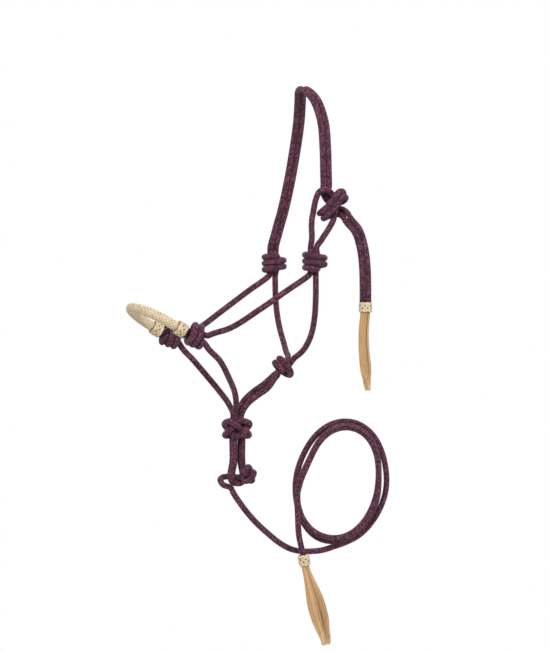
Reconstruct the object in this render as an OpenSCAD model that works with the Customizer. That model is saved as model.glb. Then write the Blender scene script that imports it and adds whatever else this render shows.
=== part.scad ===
// Rope halter with a braided rawhide noseband, hair tassels and a coiled lead.
// Millimetres. +Z is up, -X is towards the noseband, -Y is the side with the tie.
// The origin is under the two crown ropes, at the middle of the crown.

/* [Rope] */
// Diameter of the braided cord that the whole halter is tied from
rope_d = 9; // [6:0.5:10]
// Flats round each rope
rope_sides = 8; // [6:1:12]
// Air between two ropes of the same piece that lie side by side
rope_gap = 0.3; // [0.15:0.05:0.6]
// Distance between the rings of a free rope, in rope diameters
ring_step = 2.4; // [1.5:0.1:3]
// Distance between the rings inside a knot, in rope diameters
knot_step = 0.64; // [0.4:0.02:0.8]

/* [Noseband] */
// Radius of the rounded front of the noseband, at the rope's middle
nose_r = 56; // [48:1:62]
// Outer diameter of the rawhide braid
braid_d = 15.5; // [12:0.5:18]
// Outer diameter of the woven collar at each end of the braid
nose_collar_d = 22; // [17:0.5:24]
// Length of a noseband collar
nose_collar_len = 15.5; // [10:0.5:17]
// Slope of the noseband, front up, in degrees
nose_slope = 30; // [20:1:40]

/* [Collars and tassels] */
// Width of the collar that holds the two tie tails
tail_collar_d = 20.5; // [19:0.5:24]
// Length of the tail collar
tail_collar_len = 15; // [10:0.5:20]
// Diameter of the lead's round collar
lead_collar_d = 18; // [14:0.5:22]
// Diameter of the tie tassel below its collar
tail_tassel_d = 16; // [13:0.5:18]
// Length of the tie tassel
tail_tassel_len = 114; // [80:1:140]
// Diameter of the lead tassel below its collar
lead_tassel_d = 12.5; // [10:0.5:14]
// Greatest width of the lead tassel
lead_tassel_wide = 27; // [20:1:34]
// Length of the lead tassel
lead_tassel_len = 120; // [80:1:140]
// Rings of hairs in each tassel, round the middle one
hair_rings = 5; // [4:1:7]
// Share of the room between the hairs that each one fills
hair_fill = 0.86; // [0.5:0.02:0.9]

/* [Lead] */
// Half width of the coil
coil_x = 72; // [60:1:84]
// Half height of the coil
coil_z = 90; // [76:1:104]
// Lean of the coil, top towards the back, in degrees
coil_lean = 6.5; // [0:0.5:12]
// Distance between neighbouring turns across the coil
coil_pitch = 9.8; // [9.6:0.1:12]
// Gap between a swinging piece and what carries it
swing_gap = 0.4; // [0.3:0.05:0.6]

/* [Hidden] */
rr = rope_d / 2;
side = rope_d + rope_gap;
half = side / 2;
rope_col = [0.36, 0.19, 0.26];
hide_col = [0.86, 0.78, 0.62];
hair_col = [0.78, 0.63, 0.46];

// ---- Vectors, curves and swept tubes ----
function unit(v) = v / norm(v);
function at(x, y, z) = [x, y, z + rr];
function mir(v) = [v[0], -v[1], v[2]];
function sum(v, i = 0) = i < len(v) ? v[i] + sum(v, i + 1) : 0;

// Slope of a smooth curve at each of its chosen points, weighted by the spacing
function slopes(p, d0, d1) = [
    for (i = [0 : len(p) - 1])
        i == 0 ? d0
        : i == len(p) - 1 ? d1
        : let (a = p[i] - p[i - 1], b = p[i + 1] - p[i], h = norm(a), k = norm(b))
            (a / h * k + b / k * h) / (h + k)
];

function between(a, b, ma, mb, t) =
    (2 * t * t * t - 3 * t * t + 1) * a
    + (t * t * t - 2 * t * t + t) * ma
    + (3 * t * t - 2 * t * t * t) * b
    + (t * t * t - t * t) * mb;

// Points along a smooth curve through p that starts along d0 and ends along d1
function curve(p, d0, d1, step) =
    let (m = slopes(p, d0, d1))
    concat(
        [
            for (i = [0 : len(p) - 2])
                let (h = norm(p[i + 1] - p[i]), n = max(1, round(h / step)))
                for (k = [0 : n - 1])
                    between(p[i], p[i + 1], m[i] * h, m[i + 1] * h, k / n)
        ],
        [p[len(p) - 1]]
    );

function headings(p, d0, d1) = [
    for (i = [0 : len(p) - 1])
        i == 0 ? d0
        : i == len(p) - 1 ? d1
        : unit(unit(p[i + 1] - p[i]) + unit(p[i] - p[i - 1]))
];

function square_to(t, n) = unit(n - (n * t) * t);
function any_square(t) = square_to(t, abs(t[1]) < 0.8 ? [0, 1, 0] : [1, 0, 0]);

// Side direction of every ring, carried along the curve without twist
function sides_of(t) = [
    for (i = 0, n = any_square(t[0]); i < len(t); i = i + 1,
        n = i < len(t) ? square_to(t[i], n) : n)
        n
];

function ring(c, t, n, r, k) = [
    for (j = [0 : k - 1])
        let (a = 360 * j / k)
        c + r * (cos(a) * n + sin(a) * cross(t, n))
];

function skin(rings, k, closed = false, tip = false) = concat(
    [
        for (i = [0 : rings - (closed ? 1 : 2)], j = [0 : k - 1], h = [0, 1])
            let (
                i2 = (i + 1) % rings,
                j2 = (j + 1) % k,
                a = i * k + j,
                b = i * k + j2,
                c = i2 * k + j2,
                d = i2 * k + j
            )
            h == 0 ? [a, c, b] : [a, d, c]
    ],
    closed ? [] : [for (j = [1 : k - 2]) [0, j, j + 1]],
    let (last = (rings - 1) * k)
    concat(
        closed || tip ? [] : [for (j = [1 : k - 2]) [last, last + j + 1, last + j]],
        tip ? [for (j = [0 : k - 1]) [last + j, rings * k, last + (j + 1) % k]] : []
    )
);

// A rope along the points p. A round start or end is half a ball on the end point.
module rope(p, d0, d1, r = rr, k = rope_sides, round0 = false, round1 = false) {
    caps = [78, 52, 26];
    t = concat(
        round0 ? [for (a = caps) d0] : [],
        headings(p, d0, d1),
        round1 ? [for (a = caps) d1] : []
    );
    c = concat(
        round0 ? [for (a = caps) p[0] - d0 * r * sin(a)] : [],
        p,
        round1 ? [for (i = [2, 1, 0]) p[len(p) - 1] + d1 * r * sin(caps[i])] : []
    );
    q = concat(
        round0 ? [for (a = caps) r * cos(a)] : [],
        [for (v = p) r],
        round1 ? [for (i = [2, 1, 0]) r * cos(caps[i])] : []
    );
    n = sides_of(t);
    polyhedron(
        [for (i = [0 : len(c) - 1]) each ring(c[i], t[i], n[i], q[i], k)],
        skin(len(c), k)
    );
}

// A closed loop of rope about a middle point, in parts that may cross each other.
// Its rings are turned to face that point.
module endless(p, mid, parts, r = rr, k = rope_sides) {
    m = len(p);
    t = [for (i = [0 : m - 1]) unit(p[(i + 1) % m] - p[(i + m - 1) % m])];
    n = m / parts;
    whole = parts == 1;
    for (q = [0 : parts - 1])
        polyhedron(
            [
                for (i = [q * n : (q + 1) * n - (whole ? 1 : 0)])
                    each ring(p[i % m], t[i % m], square_to(t[i % m], p[i % m] - mid), r, k)
            ],
            skin(whole ? m : n + 1, k, whole)
        );
}

function length_of(p) = sum([for (i = [0 : len(p) - 2]) norm(p[i + 1] - p[i])]);

// ---- Barrel knots ----
// A barrel knot sits on a frame: middle, axis from the inlet to the outlet, and two side directions.
// One strand runs through the core, wraps back over it and runs through the core again.
// A kind is [turns, degrees from the core to the first wrap, width of the bend,
// how far the core stays straight].
short_kind = [1.3, 55, 0.66, 0.2];
throat_kind = [2.3, 66, 0.5, 0.5];
long_kind = [2, 65, 0.5, 0.5];
core_r = side / sqrt(3);
wrap_r = core_r + side;
bend_a = 28;
function on(f, v) = f[0] + v[0] * f[2] + v[1] * f[3] + v[2] * f[1];
function frame(mid, axis, up) =
    let (a = unit(axis), u = square_to(a, up)) [mid, a, u, cross(a, u)];
function polar(r, a, z) = [r * cos(a), r * sin(a), z];
function high(kind) = side * kind[0] / 2;
function wraps(f, a1, kind) =
    let (h = high(kind), n = round(kind[0] * 14), a0 = a1 + kind[1])
    [for (i = [0 : n]) on(f, polar(wrap_r, a0 + 360 * kind[0] * i / n, h - 2 * h * i / n))];
// Place of the strand's second run through the core
function back_a(a1, kind) = a1 + 2 * kind[1] + 360 * kind[0];
// Place that is left for the other strand
function free_a(a1, kind) =
    let (b = (back_a(a1, kind) - a1) % 360) b < 180 ? a1 + b / 2 + 180 : a1 + b / 2;
function barrel(f, a1, kind) =
    let (h = high(kind), r = core_r + kind[2] * side, a2 = back_a(a1, kind))
    concat(
        [
            on(f, polar(core_r, a1, -0.6 * h)),
            on(f, polar(core_r, a1, kind[3] * h)),
            on(f, polar(r, a1 + bend_a, h + 0.5))
        ],
        wraps(f, a1, kind),
        [
            on(f, polar(r, a2 - bend_a, -h - 0.5)),
            on(f, polar(core_r, a2, -kind[3] * h)),
            on(f, polar(core_r, a2, 0.6 * h))
        ]
    );
function core(f, a, kind) =
    [on(f, polar(core_r, a, -0.7 * high(kind))), on(f, polar(core_r, a, 0.7 * high(kind)))];

// ---- Frames of the knots ----
throat_mid = at(-14, -88, -260);
throat_f = frame(throat_mid, [0, 0, -1], [1, 0, 0]);
nose_dir = [cos(nose_slope), 0, -sin(nose_slope)];
nose_mid = at(-219.6, 0, -356.2);
core_end = nose_collar_len + 0.8;
nose_in = nose_mid + [0, -nose_r, 0] + core_end * nose_dir;
nose_axis = unit([0.955, -0.03, -0.295]);
nose_knot_in = 16.5;
nose_f = frame(nose_in + nose_knot_in * nose_axis, nose_axis, [0, 0, 1]);
jaw_axis = unit([-0.75, 0, -0.66]);
jaw_f = frame(at(-31, 0, -418), jaw_axis, [0, 1, 0]);

// ---- Meeting points of the ropes: where each one leaves a knot, and its direction there ----
crown_dir = unit([0, -0.15, -1]);
crown_near_front = at(8 - half, -78, -144);
crown_near_rear = at(8 + half, -78, -144);
throat_top_front = at(-14 - half - 2, -88, -241);
throat_top_rear = at(-14 + half - 2, -88, -241);
cheek_top = at(-24, -88, -281);
cheek_top_dir = unit([-0.78, 0.03, -0.62]);
throat_out = at(-12.5, -88, -281);
throat_out_dir = unit([0.02, 0.02, -1]);
cheek_low = on(nose_f, [6, 1, 19.5]);
cheek_low_dir = unit([-0.9, -0.1, -0.42]);
chin_top = on(nose_f, [-10, 2, 19.5]);
chin_top_dir = unit([0.5, 0.05, -0.86]);
throat_low = at(-18, -16, -402);
throat_low_dir = unit([-0.35, 0.82, -0.45]);
jaw_out = on(jaw_f, [-half, 1, 18]);
jaw_out_far = on(jaw_f, [half, -1, 18]);
chin_low = at(-109.3, -half, -489);
chin_low_dir = unit([0.02, 0, -1]);
jaw_low = at(-100, -half, -489);
jaw_low_dir = unit([-0.2, 0, -1]);
down = [0, 0, -1];
loop_top = -527;

// ---- Crown ----
function crown_path(x) = curve(
    [
        at(8 + x, -78, -144), at(8.5 + x, -75, -124), at(11 + x, -66, -92), at(12 + x, -50, -46),
        at(7 + x, -31, -16), at(1.5 + x, -14, -3.5), at(x, 0, 0), at(1.5 + x, 14, -3.5), at(7 + x, 31, -16),
        at(12 + x, 50, -46), at(11 + x, 66, -92), at(7 + x, 77, -135),
        at(-1 + x, 84, -180), at(-10 + x, 87.5, -215), at(-16 + x, 88, -241)
    ],
    -crown_dir, down, ring_step * rope_d
);
module crown_rope_front() color(rope_col) rope(crown_path(-half), -crown_dir, down);
module crown_rope_rear() color(rope_col) rope(crown_path(half), -crown_dir, down);

// ---- Tie knot on the near side: the crown ropes go through the loop and round it ----
tie_mid = at(13, -80, -172);
function tie(p, q, f) = tie_mid + [p, -f, q];
// Each row is a place and the direction from the pair's middle to its upper rope
tie_pair = [
    [-5, 28, -2, 1, 0, 0],
    [-3, 15, -8.5, 0.95, 0.3, 0],
    [4, 5, -9, 0.75, 0.66, 0],
    [14, 3, -7, 0.35, 0.94, 0],
    [22, 8, 1, -0.1, 0.99, -0.35],
    [20.5, 11.5, 6.5, -0.35, 0.94, -0.35],
    [14.5, 12.5, 11, -0.6, 0.8, -0.15],
    [5, 2.5, 12, -0.76, 0.65, 0],
    [-4.5, -9, 11.5, -0.76, 0.65, 0],
    [-13, -18.5, 3, -0.74, 0.67, 0],
    [-10, -20, -8, -0.6, 0.8, 0],
    [3, -16, -18, -0.35, 0.94, 0],
    [15, -13, -17, 0.1, 0.99, 0],
    [22, -14, -10, 0.6, 0.8, 0],
    [27, -20, -4, 0.84, 0.54, 0]
];
tail_dir = unit([0.54, 0, -0.84]);
function tie_rope(s) = curve(
    [for (v = tie_pair) tie(v[0], v[1], v[2]) + s * half * unit([v[3], -v[5], v[4]])],
    crown_dir, tail_dir, knot_step * rope_d
);
loop_left = tie(-28, -22, 0);
loop_left_dir = unit([-0.25, 0, -1]);
loop_right = tie(4, -27, 3);
loop_right_dir = unit([-0.5, 0, -1]);
tie_bight = curve(
    [
        loop_left, tie(-26, -9, 1.5), tie(-23.5, 4.5, 3.5), tie(-18.5, 15.5, 5), tie(-9.5, 19, 6),
        tie(-0.5, 14.5, 4.5), tie(6, 7.5, 2), tie(8.5, -1, 1.8), tie(8, -10, 1.8), tie(6, -19, 2), loop_right
    ],
    -loop_left_dir, loop_right_dir, knot_step * rope_d
);
module crown_tie_knot() color(rope_col) {
    rope(tie_rope(-1), crown_dir, tail_dir);
    rope(tie_rope(1), crown_dir, tail_dir);
}
module tie_loop_bight() color(rope_col) rope(tie_bight, -loop_left_dir, loop_right_dir);
module tie_loop_front() color(rope_col)
    rope(
        curve(
            [loop_left, at(-17, -82.5, -206), at(-17.5, -85, -226), throat_top_front],
            loop_left_dir, down, ring_step * rope_d
        ),
        loop_left_dir, down
    );
module tie_loop_rear() color(rope_col)
    rope(
        curve(
            [loop_right, at(9.5, -83.6, -211.5), at(-2.5, -86.2, -227.5), throat_top_rear],
            loop_right_dir, down, ring_step * rope_d
        ),
        loop_right_dir, down
    );

// ---- Throat knots ----
throat_a = 60;
throat_over = curve(
    concat([throat_top_rear], barrel(throat_f, throat_a, throat_kind), [throat_out]),
    down, throat_out_dir, knot_step * rope_d
);
throat_core = curve(
    concat([throat_top_front], core(throat_f, free_a(throat_a, throat_kind), throat_kind), [cheek_top]),
    down, cheek_top_dir, knot_step * rope_d
);
module throat_knot() {
    rope(throat_over, down, throat_out_dir);
    rope(throat_core, down, cheek_top_dir);
}
module throat_knot_left() color(rope_col) throat_knot();
module throat_knot_right() color(rope_col) mirror([0, 1, 0]) throat_knot();

// ---- Cheek, chin, throat and jaw ropes ----
cheek = curve(
    [
        cheek_top, at(-54, -86.5, -301), at(-98, -81, -331), at(-142, -71, -359), cheek_low
    ],
    cheek_top_dir, cheek_low_dir, ring_step * rope_d
);
chin = curve(
    [
        chin_top, at(-153, -60, -407), at(-135.5, -48, -431), at(-121, -34, -453),
        at(-112, -16, -473), chin_low
    ],
    chin_top_dir, chin_low_dir, ring_step * rope_d
);
throat_line = curve(
    [
        throat_out, at(-12, -86.5, -316), at(-11.5, -82, -337), at(-11, -71, -360), at(-11.5, -54, -379),
        at(-14.5, -34, -394), throat_low
    ],
    throat_out_dir, throat_low_dir, ring_step * rope_d
);
function jaw_line(s) = curve(
    [
        s < 0 ? jaw_out : jaw_out_far,
        at(-59 - s * 2.2, s * 3.8, -445 + s * 2.6),
        at(-78 - s * 2.2, s * 3.8, -458 + s * 2.6),
        at(-92.5 - s * 1.8, s * 4.2, -471 + s * 1.6),
        s < 0 ? jaw_low : mir(jaw_low)
    ],
    jaw_axis, jaw_low_dir, ring_step * rope_d
);
module cheek_rope_left() color(rope_col) rope(cheek, cheek_top_dir, cheek_low_dir);
module cheek_rope_right() color(rope_col) mirror([0, 1, 0]) rope(cheek, cheek_top_dir, cheek_low_dir);
module chin_rope_left() color(rope_col) rope(chin, chin_top_dir, chin_low_dir);
module chin_rope_right() color(rope_col) mirror([0, 1, 0]) rope(chin, chin_top_dir, chin_low_dir);
module throat_rope_left() color(rope_col) rope(throat_line, throat_out_dir, throat_low_dir);
module throat_rope_right() color(rope_col) mirror([0, 1, 0])
    rope(throat_line, throat_out_dir, throat_low_dir);
module jaw_rope_left() color(rope_col) rope(jaw_line(-1), jaw_axis, jaw_low_dir);
module jaw_rope_right() color(rope_col) rope(jaw_line(1), jaw_axis, jaw_low_dir);

// ---- Nose knots ----
nose_a = 100;
nose_over = curve(
    concat(barrel(nose_f, nose_a, long_kind), [chin_top]),
    nose_axis, chin_top_dir, knot_step * rope_d
);
nose_core = curve(
    concat([nose_in], core(nose_f, free_a(nose_a, long_kind), long_kind), [cheek_low]),
    nose_dir, -cheek_low_dir, knot_step * rope_d
);
module nose_knot() {
    rope(nose_over, nose_axis, chin_top_dir, round0 = true);
    rope(nose_core, nose_dir, -cheek_low_dir);
}
module nose_knot_left() color(rope_col) nose_knot();
module nose_knot_right() color(rope_col) mirror([0, 1, 0]) nose_knot();

// ---- Jaw knot ----
jaw_a = 160;
jaw_over = curve(
    concat([throat_low], barrel(jaw_f, jaw_a, short_kind), [jaw_out_far]),
    throat_low_dir, jaw_axis, knot_step * rope_d
);
jaw_core = curve(
    concat([mir(throat_low)], core(jaw_f, free_a(jaw_a, short_kind), short_kind), [jaw_out]),
    mir(throat_low_dir), jaw_axis, knot_step * rope_d
);
module jaw_knot() color(rope_col) {
    rope(jaw_over, throat_low_dir, jaw_axis);
    rope(jaw_core, mir(throat_low_dir), jaw_axis);
}

// ---- Noseband: a rope core inside a rawhide braid, with a woven collar at each end ----
// The band's own frame has +X forward along its slope and +Y across
module nose_place() translate(nose_mid) rotate([0, nose_slope, 0]) mirror([1, 0, 0]) children();
module nose_bend(r1, r2) {
    rotate([0, 0, -90])
        rotate_extrude(angle = 180, $fn = 96)
            translate([nose_r, 0]) difference() {
                circle(r = r2, $fn = 48);
                if (r1 > 0) circle(r = r1, $fn = 48);
            }
}
module noseband_core() color(rope_col) nose_place() {
    nose_bend(0, rr);
    for (s = [-1, 1])
        translate([0, s * nose_r, 0])
            rotate([0, -90, 0])
                cylinder(r = rr, h = core_end, $fn = 48);
}
module noseband_braid() color(hide_col) nose_place() nose_bend(rr + 0.1, braid_d / 2);
module barrel_ring(r0, r, len, round) {
    rotate_extrude($fn = 72)
        polygon([
            [r0, 0], [r - round, 0], [r - round * 0.55, round * 0.22], [r - round * 0.2, round * 0.7],
            [r, round * 1.6], [r, len - round * 1.6], [r - round * 0.2, len - round * 0.7],
            [r - round * 0.55, len - round * 0.22], [r - round, len], [r0, len]
        ]);
}
module nose_collar(s) nose_place()
    translate([-0.3, s * nose_r, 0])
        rotate([0, -90, 0])
            barrel_ring(rr + 0.1, nose_collar_d / 2, nose_collar_len, 2.4);
module noseband_collar_left() color(hide_col) nose_collar(-1);
module noseband_collar_right() color(hide_col) nose_collar(1);

// ---- Fiador knot: a woven ball round the four ropes, and the double loop under it ----
fiador_mid = at(-105, 0, -508.5);
weave_r = 15.2;
weave_in = 4.2;
weave_h = 11;
weave_turn = 19;
fiador_weave = [
    for (i = [0 : 59])
        let (t = 360 * i / 60, r = weave_r + weave_in * sin(8 * t))
        fiador_mid + [r * cos(3 * t + weave_turn), r * sin(3 * t + weave_turn), weave_h * cos(4 * t)]
];
loop_x = -104.5;
loop_half = 6.5;
eye_r = side + 0.2;
eye_mid = at(loop_x, 0, -581);
function loop_leg(sx, sy) = at(loop_x + sx * loop_half, sy * half, loop_top);
// One of the four ropes through the ball, at its front or back and on one side
module fiador_core(s, p, d) {
    sy = p[1] > 0 ? 1 : -1;
    rope(
        curve([p, fiador_mid + [s * 5.2, sy * half, 0], loop_leg(s, sy)], d, down, knot_step * rope_d),
        d, down
    );
}
module fiador_knot() color(rope_col) resize([0, 0, 0]) union() {
    endless(fiador_weave, fiador_mid, 12);
    fiador_core(-1, chin_low, chin_low_dir);
    fiador_core(-1, mir(chin_low), mir(chin_low_dir));
    fiador_core(1, jaw_low, jaw_low_dir);
    fiador_core(1, mir(jaw_low), jaw_low_dir);
}
function loop_path(sy) = curve(
    concat(
        [loop_leg(-1, sy), at(loop_x - loop_half, sy * half, -550)],
        [for (a = [180 : 22.5 : 360]) eye_mid + [eye_r * cos(a), sy * half, eye_r * sin(a)]],
        [at(loop_x + loop_half, sy * half, -550), loop_leg(1, sy)]
    ),
    down, -down, rope_d
);
module lead_loop_left() color(rope_col) rope(loop_path(-1), down, -down);
module lead_loop_right() color(rope_col) rope(loop_path(1), down, -down);

// ---- Lead: its stopper knot, the hitch through the loop, the free run, the coil and the end ----
stop_mid = at(-96, -24.5, -577);
stop_rope = 4;
stop_r = 8.2;
stop_in = 4;
stop_h = 6.7;
stopper = [
    for (i = [0 : 38])
        let (t = 360 * i / 39, r = stop_r + stop_in * cos(3 * t))
        stop_mid + [stop_h * sin(3 * t), r * sin(2 * t), r * cos(2 * t)]
];
hitch_in = at(loop_x, -half - 0.6, -581);
hitch_in_dir = [0, 1, 0];
stop_dir = unit([-0.5, 0.86, -0.1]);
lead_exit = at(-115, -3, -598);
lead_dir = unit([0.43, 0, -0.9]);
module lead_stopper_knot() color(rope_col) resize([0, 0, 0]) union() {
    endless(stopper, stop_mid, 1, stop_rope);
    rope(
        curve([stop_mid + [-1, 4, -1], hitch_in], stop_dir, hitch_in_dir, knot_step * rope_d),
        stop_dir, hitch_in_dir
    );
}
hitch = curve(
    [
        hitch_in, at(loop_x, 0.5, -581), at(loop_x, 6.5, -581), at(loop_x - 2.5, 12.5, -581),
        at(loop_x - 10, 15.4, -580.5), at(loop_x - 19, 12.5, -581.5), at(loop_x - 25, 5.5, -585.5),
        at(loop_x - 23, -1, -592), lead_exit
    ],
    hitch_in_dir, lead_dir, knot_step * rope_d
);
module lead_hitch() color(rope_col) rope(hitch, hitch_in_dir, lead_dir);
// Where a swinging rope starts: the middle of its round end
lead_pivot = lead_exit + (rr + swing_gap) * lead_dir;
lead_y = -3.5;
coil_turns = 2 + 260 / 360;
coil_start = -80;
coil_y0 = lead_y + coil_pitch * coil_turns / 2;
coil_mid = at(61, 0, -590);
coil_uneven = 0.018;
function coil_at(a) =
    let (
        n = (a - coil_start) / 360,
        g = 1 + coil_uneven * sin(a * 2 + 200 * n) * min(1, 3 * n),
        x = coil_x * g * cos(a),
        z = coil_z * g * sin(a),
        c = cos(coil_lean),
        s = sin(coil_lean)
    )
    coil_mid + [x * c + z * s, coil_y0 - coil_pitch * n, z * c - x * s];
coil_rings = round(24 * coil_turns);
coil_end = coil_start + 360 * coil_turns;
coil_in_dir = unit(coil_at(coil_start + 1) - coil_at(coil_start));
coil_out_dir = unit(coil_at(coil_end) - coil_at(coil_end - 1));
coil_line = concat(
    [coil_at(coil_start) - rope_d * coil_in_dir],
    [for (i = [0 : coil_rings]) coil_at(coil_start + 360 * coil_turns * i / coil_rings)],
    [coil_at(coil_end) + rope_d * coil_out_dir]
);
lead_run = curve(
    [
        lead_pivot, at(-103, -2.4, -617), at(-78, -1.4, -646.5), at(-56, -0.4, -666), at(-36, 1, -681),
        at(-18, 2.6, -690), at(0, 4.4, -694.5), at(26, 7, -695), coil_line[0]
    ],
    lead_dir, coil_in_dir, ring_step * rope_d
);
lead_collar_at = at(-4, -11, -698);
lead_collar_dir = unit([0.2, 0, -1]);
lead_tail = curve(
    [
        coil_line[len(coil_line) - 1], at(-17, -15.6, -609), at(-13, -14, -639), at(-7.8, -12, -675),
        lead_collar_at
    ],
    coil_out_dir, lead_collar_dir, ring_step * rope_d
);
module lead_rope() color(rope_col) rope(lead_run, lead_dir, coil_in_dir, round0 = true);
module lead_coil() color(rope_col) rope(coil_line, coil_in_dir, coil_out_dir);
module lead_end() color(rope_col) rope(lead_tail, coil_out_dir, lead_collar_dir);

// ---- Collars and tassels ----
// Points the +Z of its children along d, which lies in the XZ plane
module along(p, d) translate(p) rotate([0, atan2(d[0], d[2]), 0]) children();
// The bell mouth under a collar holds the round top of the tassel with air round it
mouth = 4;
// Straight part of a tassel's bound root, below its round top
root_len = 4;
module collar_body(r, len, round, ball_r) difference() {
    rotate_extrude($fn = 72)
        polygon([
            [0, 0], [r - round, 0], [r - round * 0.5, round * 0.25], [r - round * 0.15, round * 0.75],
            [r, round * 1.6], [r, len - round * 1.6], [r - round * 0.15, len - round * 0.75],
            [r - round * 0.5, len - round * 0.25], [r - round, len], [0, len]
        ]);
    translate([0, 0, len + mouth]) sphere(r = ball_r + swing_gap, $fn = 96);
}
lead_collar_len = 17;
lead_ball = lead_tassel_d / 2;
lead_tassel_pivot = lead_collar_at + (lead_collar_len + mouth) * lead_collar_dir;
module lead_collar() color(hide_col) along(lead_collar_at, lead_collar_dir)
    collar_body(lead_collar_d / 2, lead_collar_len, 4.5, lead_ball);

tail_y = tie(0, 0, -4)[1];
tail_start = tie(27, -20, -4);
tail_pivot = tail_start + (rr + swing_gap) * tail_dir;
tail_side = [tail_dir[2], 0, -tail_dir[0]];
tail_collar_at = [71, tail_y, -320 + rr];
function tail_path(s) = curve(
    [
        tail_pivot - s * half * tail_side,
        [57.5 + s * half * 0.86, tail_y, -213.5 + rr + s * half * 0.5],
        [66.5 + s * half * 0.97, tail_y, -240 + rr + s * half * 0.2],
        [70 + s * half, tail_y, -267 + rr],
        [71 + s * half, tail_y, -296 + rr],
        tail_collar_at + [s * half, 0, 0]
    ],
    tail_dir, down, ring_step * rope_d
);
module tie_tail_front() color(rope_col) rope(tail_path(-1), tail_dir, down, round0 = true);
module tie_tail_rear() color(rope_col) rope(tail_path(1), tail_dir, down, round0 = true);
tail_ball = tail_tassel_d / 2;
tail_tassel_pivot = tail_collar_at + (tail_collar_len + mouth) * down;
module tail_collar() color(hide_col) along(tail_collar_at, down)
    collar_body(tail_collar_d / 2, tail_collar_len, 2.6, tail_ball);

// A tassel hangs from its ball. Its hairs stand in rings.
// They spread and close in together, so none crosses another.
function hair_spot(k, j) = let (a = 360 * j / max(1, 6 * k) + 7 * k) [k * cos(a), k * sin(a)];
// One hair: three-sided at its start, just out of the root and at its middle, and then a point
module hair(c, wide, lean, len, start, k) {
    short = 0.88 + 0.12 * cos(137 * k) * cos(71 * k);
    out = 2 * (root_len - start) / (len - start);
    polyhedron(
        concat(
            [
                for (s = [0, out, 0.62], j = [0 : 2])
                    let (
                        w = lookup(s, wide),
                        a = 120 * j + 40 * k,
                        h = hair_fill / 2 * w / hair_rings,
                        x = c[0] * w + lookup(s, lean)
                    )
                    [x + h * cos(a), c[1] * w + h * sin(a), start + s * (len - start)]
            ],
            [[
                c[0] * lookup(short, wide) + lookup(short, lean),
                c[1] * lookup(short, wide),
                start + short * (len - start)
            ]]
        ),
        skin(3, 3, tip = true)
    );
}
module tassel(r, len, wide, lean) resize([0, 0, 0]) union() {
    rotate_extrude($fn = 28)
        polygon([
            for (a = [0 : 15 : 90]) r * [sin(a), -cos(a)],
            [r, root_len],
            [0, root_len]
        ]);
    for (k = [0 : hair_rings], j = [0 : max(0, 6 * k - 1)])
        hair(hair_spot(k, j) / hair_rings, wide, lean, len, 2, 17 * k + j);
}
module tail_tassel() color(hair_col) along(tail_tassel_pivot, down)
    tassel(
        tail_ball, tail_tassel_len,
        [[0, tail_ball - 1.1], [0.62, tail_ball + 0.3], [1, tail_ball * 0.6]],
        [[0, 0], [0.62, 0], [1, 4]]
    );
module lead_tassel() color(hair_col) along(lead_tassel_pivot, unit([0.26, 0, -1]))
    tassel(
        lead_ball, lead_tassel_len,
        [[0, lead_ball - 1.1], [0.62, lead_tassel_wide / 2], [1, lead_tassel_wide * 0.3]],
        [[0, 0], [1, 0]]
    );

// ---- Lengths and gaps that the source states about itself ----
lead_total = length_of(hitch) + length_of(lead_run) + length_of(coil_line) + length_of(lead_tail);
coil_fine = [for (a = [coil_start : 6 : coil_end]) coil_at(a)];
function seg_gap(p, a, b) =
    let (d = b - a, t = max(0, min(1, (p - a) * d / (d * d)))) norm(p - a - t * d);
// Least distance between the coil's own turns, looking at places more than a third of a turn apart
coil_gap = min([
    for (i = [0 : len(coil_fine) - 1], j = [i + 20 : len(coil_fine) - 2])
        if (j < len(coil_fine) - 1) seg_gap(coil_fine[i], coil_fine[j], coil_fine[j + 1])
]) - rope_d;
echo(lead_length_mm = lead_total, coil_gap_mm = coil_gap, coil_turns = coil_turns);
echo(pivots = [tail_pivot, tail_tassel_pivot, lead_pivot, lead_tassel_pivot]);
echo(tail_dir = tail_dir, lead_dir = lead_dir);

crown_rope_front();
crown_rope_rear();
crown_tie_knot();
tie_loop_bight();
tie_loop_front();
tie_loop_rear();
throat_knot_left();
throat_knot_right();
cheek_rope_left();
cheek_rope_right();
nose_knot_left();
nose_knot_right();
noseband_core();
noseband_braid();
noseband_collar_left();
noseband_collar_right();
chin_rope_left();
chin_rope_right();
throat_rope_left();
throat_rope_right();
jaw_knot();
jaw_rope_left();
jaw_rope_right();
fiador_knot();
lead_loop_left();
lead_loop_right();
lead_stopper_knot();
lead_hitch();
lead_rope();
lead_coil();
lead_end();
lead_collar();
lead_tassel();
tie_tail_front();
tie_tail_rear();
tail_collar();
tail_tassel();
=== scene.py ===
import math

import bpy
import numpy as np
from mathutils import Matrix, Vector


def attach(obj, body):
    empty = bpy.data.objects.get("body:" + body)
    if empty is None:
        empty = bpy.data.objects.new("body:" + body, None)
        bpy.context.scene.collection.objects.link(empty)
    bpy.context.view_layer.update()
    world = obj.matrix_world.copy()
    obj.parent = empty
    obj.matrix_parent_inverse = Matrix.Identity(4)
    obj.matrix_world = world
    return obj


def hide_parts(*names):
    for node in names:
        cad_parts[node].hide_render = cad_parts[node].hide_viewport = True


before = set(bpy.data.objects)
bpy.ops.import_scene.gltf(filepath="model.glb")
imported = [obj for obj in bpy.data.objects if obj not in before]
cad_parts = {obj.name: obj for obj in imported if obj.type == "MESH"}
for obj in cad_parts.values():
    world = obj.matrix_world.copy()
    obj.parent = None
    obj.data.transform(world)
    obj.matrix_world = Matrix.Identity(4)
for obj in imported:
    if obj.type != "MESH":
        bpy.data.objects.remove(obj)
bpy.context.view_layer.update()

# ---- Camera ----
# Level with the middle of the halter, on the side with the tie, and turned
# twenty degrees towards its front. A long lens from far off keeps it flat.
PIXEL = 0.0015
PICTURE_HEIGHT = 652
CAMERA_FAR = 7.0
VIEW_TURN = math.radians(-20)
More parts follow.
